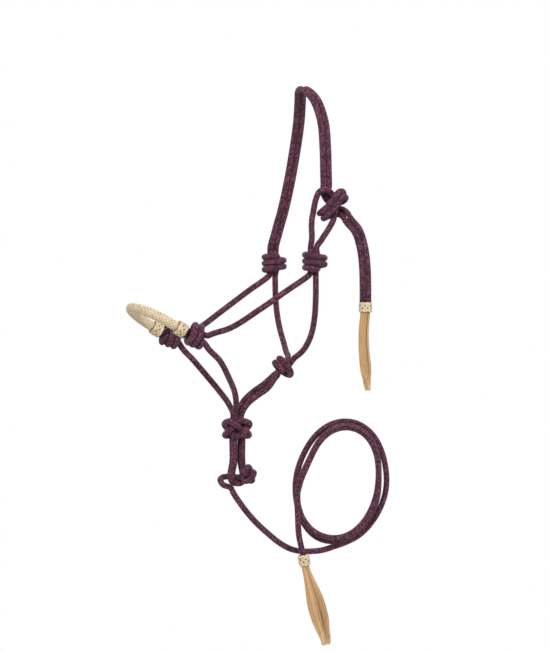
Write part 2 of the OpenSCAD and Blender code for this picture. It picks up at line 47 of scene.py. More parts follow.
across = Vector((math.cos(VIEW_TURN), math.sin(VIEW_TURN), 0))
ahead = Vector((-math.sin(VIEW_TURN), math.cos(VIEW_TURN), 0))
view_mid = across * (-28.5 * PIXEL) + Vector((0, 0, 0.0045 - 237 * PIXEL))
lens_data = bpy.data.cameras.new("view_lens")
lens_data.sensor_fit = "VERTICAL"
lens_data.sensor_height = 24
lens_data.lens = lens_data.sensor_height * CAMERA_FAR / (PICTURE_HEIGHT * PIXEL)
lens_data.clip_end = 60
camera = bpy.data.objects.new("view_camera", lens_data)
camera.location = view_mid - ahead * CAMERA_FAR
camera.rotation_euler = (math.radians(90), 0, VIEW_TURN)
bpy.context.scene.collection.objects.link(camera)
bpy.context.scene.camera = camera

# ---- Lead ----
# Five and a half feet of cord, plaited round of burgundy yarns. It hangs from
# its knot, lies in an open coil of under three turns, and ends in a collar.
ROPE = 9.0
RR = ROPE / 2
SIDE = ROPE + 0.3
HALF = SIDE / 2
SWING_GAP = 0.4


def at(x, y, z):
    return np.array([x, y, z + RR], float)


def unit(v):
    v = np.array(v, float)
    return v / np.linalg.norm(v)


def mir(v):
    return np.array([v[0], -v[1], v[2]], float)


def curve(points, d0, d1, step):
    """Points along a smooth line through the given ones, starting along d0 and ending along d1."""
    p = [np.array(v, float) for v in points]
    m = [np.array(d0, float)]
    for a, b, c in zip(p, p[1:], p[2:]):
        h, k = np.linalg.norm(b - a), np.linalg.norm(c - b)
        m.append(((b - a) / h * k + (c - b) / k * h) / (h + k))
    m.append(np.array(d1, float))
    out = []
    for a, b, ma, mb in zip(p, p[1:], m, m[1:]):
        h = np.linalg.norm(b - a)
        n = max(1, round(h / step))
        for k in range(n):
            t = k / n
            out.append(
                (2 * t**3 - 3 * t * t + 1) * a + (t**3 - 2 * t * t + t) * ma * h
                + (3 * t * t - 2 * t**3) * b + (t**3 - t * t) * mb * h
            )
    out.append(p[-1])
    return np.array(out)


def tube(points, d0, d1, radius=RR, sides=14, ends=("flat", "flat"), middle=None):
    """Vertices, faces and UVs of one cord. A middle point closes it into a loop whose
    rings face that point. A round first end turns in the cup-shaped last end of the
    cord before it."""
    pts = np.array(points, float)
    loop = middle is not None
    n = len(pts)
    if loop:
        t = np.roll(pts, -1, 0) - np.roll(pts, 1, 0)
        t /= np.linalg.norm(t, axis=1)[:, None]
    else:
        step = np.diff(pts, axis=0)
        step /= np.linalg.norm(step, axis=1)[:, None]
        t = np.vstack([unit(d0), step[1:] + step[:-1], unit(d1)])
        t /= np.linalg.norm(t, axis=1)[:, None]
    radii = np.full(n, radius)
    if not loop:
        if ends[0] == "round":
            ball = np.radians([80, 62, 44, 26, 12])
            pts = np.vstack([pts[0] - t[0] * radius * np.sin(ball)[:, None], pts])
            radii = np.concatenate([radius * np.cos(ball), radii])
            t = np.vstack([np.tile(t[0], (len(ball), 1)), t])
        if ends[1] == "cup":
            cup_reach = np.array([1.5, 1.5, 0.95, 0.45, 0.2])
            cup_radii = [radius, 3.3, 2.55, 1.5, 0.7]
            pts = np.vstack([pts, pts[-1] + t[-1] * cup_reach[:, None]])
            radii = np.concatenate([radii, cup_radii])
            t = np.vstack([t, np.tile(t[-1], (len(cup_radii), 1))])
    n = len(pts)
    side = np.zeros((n, 3))
    normal = np.array([0, 1, 0]) if abs(t[0][1]) < 0.8 else np.array([1, 0, 0])
    for i in range(n):
        if loop:
            normal = pts[i] - middle
        normal = normal - normal.dot(t[i]) * t[i]
        normal = normal / np.linalg.norm(normal)
        side[i] = normal
    other = np.cross(t, side)
    a = 2 * np.pi * np.arange(sides) / sides
    ring = np.cos(a)[None, :, None] * side[:, None] + np.sin(a)[None, :, None] * other[:, None]
    verts = (pts[:, None] + radii[:, None, None] * ring).reshape(-1, 3)
    along = np.concatenate([[0], np.cumsum(np.linalg.norm(np.diff(pts, axis=0), axis=1))])
    closing = np.linalg.norm(pts[0] - pts[-1])
    faces, uvs = [], []
    for i in range(n if loop else n - 1):
        k = (i + 1) % n
        v0, v1 = along[i] / 1000, (along[i] + closing if k == 0 else along[k]) / 1000
        for j in range(sides):
            j2 = (j + 1) % sides
            faces.append([i * sides + j, i * sides + j2, k * sides + j2, k * sides + j])
            u0, u1 = j / sides, (j + 1) / sides
            uvs += [(u0, v0), (u1, v0), (u1, v1), (u0, v1)]
    if not loop:
        faces.append([j for j in reversed(range(sides))])
        uvs += [(0.5, 0.0)] * sides
        faces.append([(n - 1) * sides + j for j in range(sides)])
        uvs += [(0.5, along[-1] / 1000)] * sides
    return verts, faces, uvs


def mesh_object(name, parts, finish):
    """One object from several closed shapes: vertices in millimetres, faces and UVs of each."""
    verts, faces, uvs, start = [], [], [], 0
    for v, f, w in parts:
        verts.append(np.array(v) / 1000)
        faces += [[i + start for i in face] for face in f]
        uvs += w
        start += len(v)
    mesh = bpy.data.meshes.new(name)
    mesh.from_pydata(np.vstack(verts).tolist(), [], faces)
    layer = mesh.uv_layers.new(name="UVMap")
    layer.data.foreach_set("uv", np.array(uvs, np.float32).ravel())
    mesh.polygons.foreach_set("use_smooth", np.ones(len(faces), bool))
    mesh.materials.append(finish)
    mesh.update()
    obj = bpy.data.objects.new(name, mesh)
    bpy.context.scene.collection.objects.link(obj)
    return obj


def node(tree, kind, inputs=None, **settings):
    made = tree.nodes.new(kind)
    for key, value in settings.items():
        setattr(made, key, value)
    for key, value in (inputs or {}).items():
        if isinstance(value, bpy.types.NodeSocket):
            tree.links.new(value, made.inputs[key])
        else:
            made.inputs[key].default_value = value
    return made


def sums(tree, operation, a, b=0.0):
    return node(tree, "ShaderNodeMath", {0: a, 1: b}, operation=operation).outputs[0]


def scaled(tree, value, times, plus):
    return node(tree, "ShaderNodeMath", {0: value, 1: times, 2: plus}, operation="MULTIPLY_ADD").outputs[0]


def vectors(tree, operation, a, b):
    second = "Scale" if operation == "SCALE" else 1
    return node(tree, "ShaderNodeVectorMath", {0: a, second: b}, operation=operation).outputs[0]


def spread_over(tree, value, low, high):
    return node(tree, "ShaderNodeMapRange", {0: value, 3: low, 4: high}).outputs[0]


def noise(tree, place, scale, detail=2.0, roughness=0.5):
    inputs = {"Vector": place, "Scale": scale, "Detail": detail, "Roughness": roughness}
    return node(tree, "ShaderNodeTexNoise", inputs).outputs[0]


def blend_colour(tree, how, factor, a, b):
    mixed = node(tree, "ShaderNodeMix", data_type="RGBA", blend_type=how)
    for key, value in ((0, factor), (6, a), (7, b)):
        if isinstance(value, bpy.types.NodeSocket):
            tree.links.new(value, mixed.inputs[key])
        else:
            mixed.inputs[key].default_value = value
    return mixed.outputs[2]


def ramp(tree, factor, stops):
    made = node(tree, "ShaderNodeValToRGB", {0: factor})
    elements = made.color_ramp.elements
    while len(elements) < len(stops):
        elements.new(0.5)
    for element, (place, colour) in zip(elements, stops):
        element.position = place
        element.color = (*colour, 1)
    return made.outputs[0]


def new_finish(name):
    """A new material, its tree and its shader."""
    made = bpy.data.materials.new(name)
    made.use_nodes = True
    return made, made.node_tree, made.node_tree.nodes["Principled BSDF"]


# Strands each way round the cord, plies in each strand, and how far along the cord
# one crossing reaches, in metres
CARRIERS = 10
PLIES = 3
PICK = 0.0029
braid_finish, tree, shader = new_finish("burgundy_braid")
uv = node(tree, "ShaderNodeUVMap", uv_map="UVMap").outputs[0]
split = node(tree, "ShaderNodeSeparateXYZ", {0: uv})
around = sums(tree, "MULTIPLY", split.outputs[0], CARRIERS)
along_rope = sums(tree, "DIVIDE", split.outputs[1], PICK)
one_way = sums(tree, "ADD", around, along_rope)
other_way = sums(tree, "SUBTRACT", around, along_rope)
cell_a = sums(tree, "FLOOR", one_way)
cell_b = sums(tree, "FLOOR", other_way)
parity = sums(tree, "FLOORED_MODULO", sums(tree, "ADD", cell_a, cell_b), 2.0)
crown_a = sums(tree, "SINE", sums(tree, "MULTIPLY", sums(tree, "FRACT", one_way), math.pi))
crown_b = sums(tree, "SINE", sums(tree, "MULTIPLY", sums(tree, "FRACT", other_way), math.pi))
plies_a = sums(tree, "ABSOLUTE", sums(tree, "SINE", sums(tree, "MULTIPLY", one_way, PLIES * math.pi)))
plies_b = sums(tree, "ABSOLUTE", sums(tree, "SINE", sums(tree, "MULTIPLY", other_way, PLIES * math.pi)))
over_a = sums(tree, "MULTIPLY", crown_a, scaled(tree, crown_b, 0.5, 0.5))
over_b = sums(tree, "MULTIPLY", crown_b, scaled(tree, crown_a, 0.5, 0.5))
over_a = sums(tree, "MULTIPLY", over_a, scaled(tree, plies_a, 0.4, 0.6))
over_b = sums(tree, "MULTIPLY", over_b, scaled(tree, plies_b, 0.4, 0.6))
relief = node(tree, "ShaderNodeMix", {0: parity, 2: over_a, 3: over_b}, data_type="FLOAT").outputs[0]
cells = node(tree, "ShaderNodeCombineXYZ", {0: cell_a, 1: cell_b}).outputs[0]
yarn_luck = node(tree, "ShaderNodeTexWhiteNoise", {"Vector": cells}, noise_dimensions="2D").outputs[0]
place = node(tree, "ShaderNodeTexCoord").outputs["Object"]
fibres = noise(tree, place, 900.0, 4.0, 0.7)
fading = noise(tree, place, 22.0, 3.0)
# The yarn colour runs from near black in the grooves between yarns to light on their crowns: painted shade in
# the grooves.
yarn_with_groove_shade = ramp(
    tree, relief, [(0.0, (0.010, 0.002, 0.005)), (0.4, (0.070, 0.016, 0.035)), (1.0, (0.33, 0.115, 0.188))]
)
lit = spread_over(tree, yarn_luck, 0.3, 1.65)
own_shade = node(tree, "ShaderNodeCombineColor", {0: lit, 1: lit, 2: lit}).outputs[0]
yarn_with_groove_shade = blend_colour(tree, "MULTIPLY", 1.0, yarn_with_groove_shade, own_shade)
faded = ramp(tree, fading, [(0.3, (0.84, 0.82, 0.84)), (0.7, (1.1, 1.1, 1.1))])
yarn_with_groove_shade = blend_colour(tree, "MULTIPLY", 1.0, yarn_with_groove_shade, faded)
heather = noise(tree, place, 330.0, 1.0)
flecks = ramp(
    tree, heather, [(0.36, (0.45, 0.40, 0.43)), (0.5, (0.92, 0.92, 0.92)), (0.64, (1.75, 1.75, 1.75))]
)
yarn_with_groove_shade = blend_colour(tree, "MULTIPLY", 1.0, yarn_with_groove_shade, flecks)
fuzz = ramp(tree, fibres, [(0.35, (0.68, 0.66, 0.68)), (0.72, (1.45, 1.42, 1.45))])
tree.links.new(blend_colour(tree, "MULTIPLY", 1.0, yarn_with_groove_shade, fuzz), shader.inputs["Base Color"])
dull = spread_over(tree, fibres, 0.62, 0.9)
tree.links.new(dull, shader.inputs["Roughness"])
height = scaled(tree, fibres, 0.25, relief)
bump = node(tree, "ShaderNodeBump", {"Strength": 0.9, "Distance": 0.0007, "Height": height})
tree.links.new(bump.outputs[0], shader.inputs["Normal"])
shader.inputs["Sheen Weight"].default_value = 0.16
shader.inputs["Sheen Roughness"].default_value = 0.45
shader.inputs["Sheen Tint"].default_value = (0.80, 0.48, 0.62, 1)
shader.inputs["Specular IOR Level"].default_value = 0.3

FINE = 1.5
FREE = 3.5
DOWN = np.array([0, 0, -1.0])
lead_exit = at(-115, -3, -598)
lead_dir = unit([0.43, 0, -0.9])
lead_pivot = lead_exit + (RR + SWING_GAP) * lead_dir
coil_turns = 2 + 260 / 360
coil_start = -80
coil_pitch = 9.8
coil_y_mid = -3.5
coil_y0 = coil_y_mid + coil_pitch * coil_turns / 2
coil_mid = (56.25, -588)
# Reach of the first, outer turn and of the inner ones from the coil's middle,
# every 30 degrees, as the viewer sees them. Then the angles between which the
# lead goes over from one to the other, and between which it stops wandering.
outer_turn = [70.2, 76.2, 89.1, 93.4, 79.4, 69.4, 67.2, 73.8, 86.2, 89.9, 79.4, 71.3]
inner_turn = [57.4, 65.2, 80.6, 84.5, 67.5, 58.7, 60.2, 72.4, 80.3, 80.1, 68.4, 58.1]
inward_from, inward_to = 228, 310
steady_from, steady_to = 600, 660


def ease(a, low, high):
    """0 up to low, 1 from high on, and a smooth step between."""
    t = min(1, max(0, (a - low) / (high - low)))
    return t * t * (3 - 2 * t)


def reach(turn, a):
    """Smooth reach of a turn at the angle a, from its values round the circle."""
    waves = np.fft.rfft(turn) / len(turn)
    swing = sum((waves[k] * np.exp(1j * k * math.radians(a))).real for k in range(1, 5))
    return waves[0].real + 2 * swing


def coil_at(a):
    n = (a - coil_start) / 360
    wander = (0.17 - 0.12 * math.cos(math.radians(3 * a - 45))) * (1 - ease(a, steady_from, steady_to))
    inside = ease(a, inward_from, inward_to) * (1 - wander)
    r = reach(outer_turn, a) * (1 - inside) + reach(inner_turn, a) * inside
    y = coil_y0 - coil_pitch * n
    seen_x = coil_mid[0] + r * math.cos(math.radians(a))
    return np.array([(seen_x - y * across.y) / across.x, y, coil_mid[1] + r * math.sin(math.radians(a))])


coil_end = coil_start + 360 * coil_turns
coil_in_dir = unit(coil_at(coil_start + 1) - coil_at(coil_start))
coil_out_dir = unit(coil_at(coil_end) - coil_at(coil_end - 1))
coil_points = [coil_at(a) for a in np.linspace(coil_start, coil_end, round(120 * coil_turns) + 1)]
coil_line = [coil_at(coil_start) - ROPE * coil_in_dir, *coil_points, coil_at(coil_end) + ROPE * coil_out_dir]
lead_collar_at = at(-4, -11, -698)
lead_collar_dir = unit([0.2, 0, -1])
lead_run = curve(
    [
        lead_pivot, at(-103, -2.4, -617), at(-78, -1.4, -646.5), at(-56, -0.4, -666), at(-36, 1, -681),
        at(-18, 2.6, -690), at(0, 4.4, -693.6), at(15, 5.6, -694), at(34, 7, -692.4), at(54, 8.3, -687),
        coil_line[0],
    ],
    lead_dir, coil_in_dir, FREE,
)
lead_tail = curve(
    [
        coil_line[-1], at(-15.4, -17.6, -616.5), at(-14.4, -16.8, -640.5), at(-11.7, -14.2, -669),
        lead_collar_at,
    ],
    coil_out_dir, lead_collar_dir, FREE,
)
lead_route = np.vstack([lead_run[:-1], coil_line, lead_tail[1:]])
lead_cord = mesh_object(
    "lead_cord", [tube(lead_route, lead_dir, lead_collar_dir, ends=("round", "flat"))], braid_finish
)
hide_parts("lead_rope", "lead_coil", "lead_end")
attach(lead_cord, "lead")

# ---- Tie tails ----
# The two ends of the crown cord, side by side. They leave the tie knot, curve
# down together and end in one woven collar.
tie_mid = at(13, -80, -172)


def tie(p, q, f):
    return tie_mid + np.array([p, -f, q])


tail_y = tie(0, 0, -4)[1]
tail_dir = unit([0.54, 0, -0.84])
tail_pivot = tie(27, -20, -4) + (RR + SWING_GAP) * tail_dir
tail_side = np.array([tail_dir[2], 0, -tail_dir[0]])
tail_collar_at = np.array([71, tail_y, -320 + RR])
for name, s in (("front", -1), ("rear", 1)):
    route = curve(
        [
            tail_pivot - s * HALF * tail_side,
            [57.5 + s * HALF * 0.86, tail_y, -213.5 + RR + s * HALF * 0.5],
            [66.5 + s * HALF * 0.97, tail_y, -240 + RR + s * HALF * 0.2],
            [70 + s * HALF, tail_y, -267 + RR],
            [71 + s * HALF, tail_y, -296 + RR],
            tail_collar_at + np.array([s * HALF, 0, 0]),
        ],
        tail_dir, DOWN, FREE,
    )
    cord = mesh_object(
        f"tie_tail_{name}_cord", [tube(route, tail_dir, DOWN, ends=("round", "flat"))], braid_finish
    )
    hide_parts(f"tie_tail_{name}")
    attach(cord, "tie_tails")


def halter_cord(name, parts, *nodes):
    """A cord of the halter itself, in place of its plain solids."""
    made = mesh_object(name, parts, braid_finish)
    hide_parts(*(nodes or (name.replace("_cord", ""),)))
    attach(made, "halter")
    return made


# ---- Crown ----
# Two lengths of the same cord side by side, from the tie over the top and down
# to the knot on the far side.
crown_dir = unit([0, -0.15, -1])
for name, x in (("front", -HALF), ("rear", HALF)):
    route = curve(
        [
            at(8 + x, -78, -144), at(8.5 + x, -75, -124), at(11 + x, -66, -92), at(12 + x, -50, -46),
            at(7 + x, -31, -16), at(1.5 + x, -14, -3.5), at(x, 0, 0), at(1.5 + x, 14, -3.5),
            at(7 + x, 31, -16),
            at(12 + x, 50, -46), at(11 + x, 66, -92), at(7 + x, 77, -135),
            at(-1 + x, 84, -180), at(-10 + x, 87.5, -215), at(-16 + x, 88, -241),
        ],
        -crown_dir, DOWN, FREE,
    )
    halter_cord(f"crown_rope_{name}_cord", [tube(route, -crown_dir, DOWN)])

# ---- Tie knot ----
# The crown cords go through the loop from behind, round it and under
# themselves, so that they lie over the knot as two long slanting strands.
tie_pair = [
    [-5, 28, -2, 1, 0, 0], [-3, 15, -8.5, 0.95, 0.3, 0], [4, 5, -9, 0.75, 0.66, 0],
    [14, 3, -7, 0.35, 0.94, 0],
    [22, 8, 1, -0.1, 0.99, -0.35], [20.5, 11.5, 6.5, -0.35, 0.94, -0.35], [14.5, 12.5, 11, -0.6, 0.8, -0.15],
    [5, 2.5, 12, -0.76, 0.65, 0], [-4.5, -9, 11.5, -0.76, 0.65, 0], [-13, -18.5, 3, -0.74, 0.67, 0],
    [-10, -20, -8, -0.6, 0.8, 0],
    [3, -16, -18, -0.35, 0.94, 0], [15, -13, -17, 0.1, 0.99, 0], [22, -14, -10, 0.6, 0.8, 0],
    [27, -20, -4, 0.84, 0.54, 0],
]
tie_strands = []
for s in (-1, 1):
    points = [tie(p, q, f) + s * HALF * unit([x, -y, z]) for p, q, f, x, z, y in tie_pair]
    route = curve(points, crown_dir, tail_dir, FINE)
    tie_strands.append(tube(route, crown_dir, tail_dir, ends=("flat", "cup")))
halter_cord("crown_tie_knot_cord", tie_strands)

# ---- Tie loop ----
# A bight of the throat cord that stands up on the near side: the crown cords
# are tied to it, and its two legs go down into the throat knot.
loop_left = tie(-28, -22, 0)
loop_left_dir = unit([-0.25, 0, -1])
loop_right = tie(4, -27, 3)
loop_right_dir = unit([-0.5, 0, -1])
throat_top_front = at(-14 - HALF - 2, -88, -241)
throat_top_rear = at(-14 + HALF - 2, -88, -241)
tie_bight = curve(
    [
        loop_left, tie(-26, -9, 1.5), tie(-23.5, 4.5, 3.5), tie(-18.5, 15.5, 5), tie(-9.5, 19, 6),
        tie(-0.5, 14.5, 4.5), tie(6, 7.5, 2), tie(8.5, -1, 1.8), tie(8, -10, 1.8), tie(6, -19, 2), loop_right,
    ],
    -loop_left_dir, loop_right_dir, FINE,
)
halter_cord("tie_loop_bight_cord", [tube(tie_bight, -loop_left_dir, loop_right_dir)])
front_leg = curve(
    [loop_left, at(-17, -82.5, -206), at(-17.5, -85, -226), throat_top_front], loop_left_dir, DOWN, FREE
)
rear_leg = curve(
    [loop_right, at(9.5, -83.6, -211.5), at(-2.5, -86.2, -227.5), throat_top_rear], loop_right_dir, DOWN, FREE
)
halter_cord("tie_loop_front_cord", [tube(front_leg, loop_left_dir, DOWN)])
halter_cord("tie_loop_rear_cord", [tube(rear_leg, loop_right_dir, DOWN)])

# ---- Throat knots ----
# A barrel knot on each side, where the crown, cheek and throat cords meet. One
# strand runs through, wraps back over itself and runs through again.
# The kinds of barrel: turns of the wrap, degrees on the way to it, how far out the
# strand is on that way, in cords, and the share of the half height run straight
SHORT_KIND = (1.3, 55, 0.66, 0.2)
THROAT_KIND = (2.3, 66, 0.5, 0.5)
LONG_KIND = (2, 65, 0.5, 0.5)
CORE_R = SIDE / math.sqrt(3)
WRAP_R = CORE_R + SIDE


def knot_frame(mid, axis, up):
    a = unit(axis)
    u = unit(np.array(up, float) - np.dot(up, a) * a)
    return mid, a, u, np.cross(a, u)


def on(f, v):
    return f[0] + v[0] * f[2] + v[1] * f[3] + v[2] * f[1]


def polar(r, a, z):
    return [r * math.cos(math.radians(a)), r * math.sin(math.radians(a)), z]


def barrel(f, a1, kind):
    turns, first, wide, straight = kind
    h = SIDE * turns / 2
    r = CORE_R + wide * SIDE
    a2 = a1 + 2 * first + 360 * turns
    n = round(turns * 14)
    return [
        on(f, polar(CORE_R, a1, -0.6 * h)), on(f, polar(CORE_R, a1, straight * h)),
        on(f, polar(r, a1 + 28, h + 0.5)),
        *[on(f, polar(WRAP_R, a1 + first + 360 * turns * i / n, h - 2 * h * i / n)) for i in range(n + 1)],
        on(f, polar(r, a2 - 28, -h - 0.5)), on(f, polar(CORE_R, a2, -straight * h)),
        on(f, polar(CORE_R, a2, 0.6 * h)),
    ]


def straight_through(f, a1, kind):
    back = (2 * kind[1] + 360 * kind[0]) % 360
    a = a1 + back / 2 + 180 if back < 180 else a1 + back / 2
    h = SIDE * kind[0] / 2
    return [on(f, polar(CORE_R, a, -0.7 * h)), on(f, polar(CORE_R, a, 0.7 * h))]


def far_side(points):
    return np.array([mir(v) for v in points])


def halter_pair(name, runs):
    """The same cord on both sides. A run is its route, its two directions and its ends."""
    near = [tube(route, d0, d1, ends=ends) for route, d0, d1, ends in runs]
    far = [tube(far_side(route), mir(d0), mir(d1), ends=ends) for route, d0, d1, ends in runs]
    halter_cord(f"{name}_left_cord", near)
    halter_cord(f"{name}_right_cord", far)


throat_f = knot_frame(at(-14, -88, -260), [0, 0, -1], [1, 0, 0])
throat_out = at(-12.5, -88, -281)
throat_out_dir = unit([0.02, 0.02, -1])
cheek_top = at(-24, -88, -281)
cheek_top_dir = unit([-0.78, 0.03, -0.62])
throat_over = curve(
    [throat_top_rear, *barrel(throat_f, 60, THROAT_KIND), throat_out], DOWN, throat_out_dir, FINE
)
throat_core = curve(
    [throat_top_front, *straight_through(throat_f, 60, THROAT_KIND), cheek_top], DOWN, cheek_top_dir, FINE
)
FLAT_ENDS = ("flat", "flat")
halter_pair(
    "throat_knot",
    [(throat_over, DOWN, throat_out_dir, FLAT_ENDS), (throat_core, DOWN, cheek_top_dir, FLAT_ENDS)],
)

# ---- Nose knots ----
# A longer barrel knot on each side, behind the noseband's collar. Its wraps
# stand nearly upright; the cheek and chin cords leave it.
nose_r = 56
nose_slope = math.radians(30)
nose_collar_len = 15.5
core_end = nose_collar_len + 0.8
nose_dir = np.array([math.cos(nose_slope), 0, -math.sin(nose_slope)])
nose_mid = at(-219.6, 0, -356.2)
nose_in = nose_mid + np.array([0, -nose_r, 0]) + core_end * nose_dir
nose_axis = unit([0.955, -0.03, -0.295])
nose_f = knot_frame(nose_in + 16.5 * nose_axis, nose_axis, [0, 0, 1])
cheek_low = on(nose_f, [6, 1, 19.5])
cheek_low_dir = unit([-0.9, -0.1, -0.42])
chin_top = on(nose_f, [-10, 2, 19.5])
chin_top_dir = unit([0.5, 0.05, -0.86])
nose_over = curve([*barrel(nose_f, 100, LONG_KIND), chin_top], nose_axis, chin_top_dir, FINE)
nose_core = curve(
    [nose_in, *straight_through(nose_f, 100, LONG_KIND), cheek_low], nose_dir, -cheek_low_dir, FINE
)
halter_pair(
    "nose_knot",
    [
        (nose_over, nose_axis, chin_top_dir, ("round", "flat")),
        (nose_core, nose_dir, -cheek_low_dir, FLAT_ENDS),
    ],
)

# ---- Cheek, chin and throat cords ----
# Single cords from knot to knot, one of each on either side. The throat cords
# close in under the jaw, the chin cords under the noseband.
chin_low = at(-109.3, -HALF, -489)
chin_low_dir = unit([0.02, 0, -1])
throat_low = at(-18, -16, -402)
throat_low_dir = unit([-0.35, 0.82, -0.45])
single_runs = {
    "cheek_rope": (
        [cheek_top, at(-54, -86.5, -301), at(-98, -81, -331), at(-142, -71, -359), cheek_low],
        cheek_top_dir, cheek_low_dir,
    ),
    "chin_rope": (
        [
            chin_top, at(-153, -60, -407), at(-135.5, -48, -431), at(-121, -34, -453), at(-112, -16, -473),
            chin_low,
        ],
        chin_top_dir, chin_low_dir,
    ),
    "throat_rope": (
        [
            throat_out, at(-12, -86.5, -316), at(-11.5, -82, -337), at(-11, -71, -360), at(-11.5, -54, -379),
            at(-14.5, -34, -394), throat_low,
        ],
        throat_out_dir, throat_low_dir,
    ),
}
for name, (points, d0, d1) in single_runs.items():
    halter_pair(name, [(curve(points, d0, d1, FREE), d0, d1, FLAT_ENDS)])

# ---- Jaw knot and jaw cords ----
# The two throat cords meet in a short barrel knot under the jaw and go on side
# by side to the knot under the chin.
jaw_axis = unit([-0.75, 0, -0.66])
jaw_f = knot_frame(at(-31, 0, -418), jaw_axis, [0, 1, 0])
jaw_out = on(jaw_f, [-HALF, 1, 18])
jaw_out_far = on(jaw_f, [HALF, -1, 18])
jaw_low = at(-100, -HALF, -489)
jaw_low_dir = unit([-0.2, 0, -1])
jaw_over = curve([throat_low, *barrel(jaw_f, 160, SHORT_KIND), jaw_out_far], throat_low_dir, jaw_axis, FINE)
jaw_core = curve(
    [mir(throat_low), *straight_through(jaw_f, 160, SHORT_KIND), jaw_out], mir(throat_low_dir), jaw_axis, FINE
)
halter_cord(
    "jaw_knot_cord", [tube(jaw_over, throat_low_dir, jaw_axis), tube(jaw_core, mir(throat_low_dir), jaw_axis)]
)
for name, s in (("left", -1), ("right", 1)):
    route = curve(
        [
            jaw_out if s < 0 else jaw_out_far,
            at(-59 - s * 2.2, s * 3.8, -445 + s * 2.6),
            at(-78 - s * 2.2, s * 3.8, -458 + s * 2.6),
            at(-92.5 - s * 1.8, s * 4.2, -471 + s * 1.6),
            jaw_low if s < 0 else mir(jaw_low),
        ],
        jaw_axis, jaw_low_dir, FREE,
    )
    halter_cord(f"jaw_rope_{name}_cord", [tube(route, jaw_axis, jaw_low_dir)])

# ---- Fiador knot ----
# A ball woven of one cord, three leads by four bights, round the four cords
# that come down through it.
fiador_mid = at(-105, 0, -508.5)
ball_r, ball_lift, ball_half, ball_steps = 15.2, 4.2, 11, 300
ball_leads, ball_bights, ball_turn = 3, 4, math.radians(19)
weave = []
for i in range(ball_steps):
    t = 2 * math.pi * i / ball_steps
    r = ball_r + ball_lift * math.sin(2 * ball_bights * t)
    a = ball_leads * t + ball_turn
    weave.append(
        fiador_mid + np.array([r * math.cos(a), r * math.sin(a), ball_half * math.cos(ball_bights * t)])
    )
loop_x = -104.5
loop_half = 6.5


def loop_leg(sx, sy):
    return at(loop_x + sx * loop_half, sy * HALF, -527)


fiador_parts = [tube(weave, None, None, middle=fiador_mid)]
for s, p, d in ((-1, chin_low, chin_low_dir), (1, jaw_low, jaw_low_dir)):
    for sy in (-1, 1):
        start, way = (p, d) if sy < 0 else (mir(p), mir(d))
        through = curve(
            [start, fiador_mid + np.array([s * 5.2, sy * HALF, 0]), loop_leg(s, sy)], way, DOWN, FINE
        )
        fiador_parts.append(tube(through, way, DOWN))
halter_cord("fiador_knot_cord", fiador_parts)

# ---- Lead loop ----
# The four cords go on down as a double loop, whose round end is the eye that
# the lead is hitched to.
eye_r = SIDE + 0.2
eye_mid = at(loop_x, 0, -581)
for name, sy in (("left", -1), ("right", 1)):
    eye = [
        eye_mid + np.array([eye_r * math.cos(a), sy * HALF, eye_r * math.sin(a)])
        for a in np.radians(np.linspace(180, 360, 9))
    ]
    route = curve(
        [loop_leg(-1, sy), at(loop_x - loop_half, sy * HALF, -559), *eye,
         at(loop_x + loop_half, sy * HALF, -559), loop_leg(1, sy)],
        DOWN, -DOWN, FINE,
    )
    halter_cord(f"lead_loop_{name}_cord", [tube(route, DOWN, -DOWN)])

# ---- Stopper knot and hitch ----
# The lead's upper end is knotted into a button, goes through the eye, round
# behind it and down. The button keeps it from pulling through.
stop_mid = at(-96, -24.5, -577)
button_r, button_swing, button_half, button_cord, button_steps = 8.2, 4, 6.7, 4, 160
button = []
for i in range(button_steps):
    t = 2 * math.pi * i / button_steps
    r = button_r + button_swing * math.cos(3 * t)
    button.append(
        stop_mid + np.array([button_half * math.sin(3 * t), r * math.sin(2 * t), r * math.cos(2 * t)])
    )
hitch_in = at(loop_x, -HALF - 0.6, -581)
hitch_in_dir = np.array([0, 1.0, 0])
stop_dir = unit([-0.5, 0.86, -0.1])
neck = curve([stop_mid + np.array([-1, 4, -1]), hitch_in], stop_dir, hitch_in_dir, FINE)
halter_cord(
    "lead_stopper_knot_cord",
    [tube(button, None, None, radius=button_cord, middle=stop_mid), tube(neck, stop_dir, hitch_in_dir)],
)
hitch = curve(
    [
        hitch_in, at(loop_x, 0.5, -581), at(loop_x, 6.5, -581), at(loop_x - 2.5, 12.5, -581),
        at(loop_x - 10, 15.4, -580.5), at(loop_x - 19, 12.5, -581.5), at(loop_x - 25, 5.5, -585.5),
        at(loop_x - 23, -1, -592), lead_exit,
    ],
    hitch_in_dir, lead_dir, FINE,
)
halter_cord("lead_hitch_cord", [tube(hitch, hitch_in_dir, lead_dir, ends=("flat", "cup"))])

# ---- Noseband ----
# A cord core bent round the front, covered by a round plait of natural rawhide
# strings. The strings of the two ways go over one and under one.
band_front = np.array([-math.cos(nose_slope), 0, math.sin(nose_slope)])
band_up = np.array([math.sin(nose_slope), 0, math.cos(nose_slope)])
band_side = np.array([0, 1.0, 0])


def band_at(s):
    """Middle, outward side and direction of the band at arc length s from its near end."""
    a = s / nose_r - math.pi / 2
    out = math.cos(a) * band_front + math.sin(a) * band_side
    way = -math.sin(a) * band_front + math.cos(a) * band_side
    return nose_mid + nose_r * out, out, way


band_len = math.pi * nose_r
band_line = [band_at(s)[0] for s in np.linspace(0, band_len, 60)]
back = core_end * nose_dir
core_route = np.array([band_line[0] + back, *band_line, band_line[-1] + back])
halter_cord("noseband_core_cord", [tube(core_route, -nose_dir, nose_dir)])


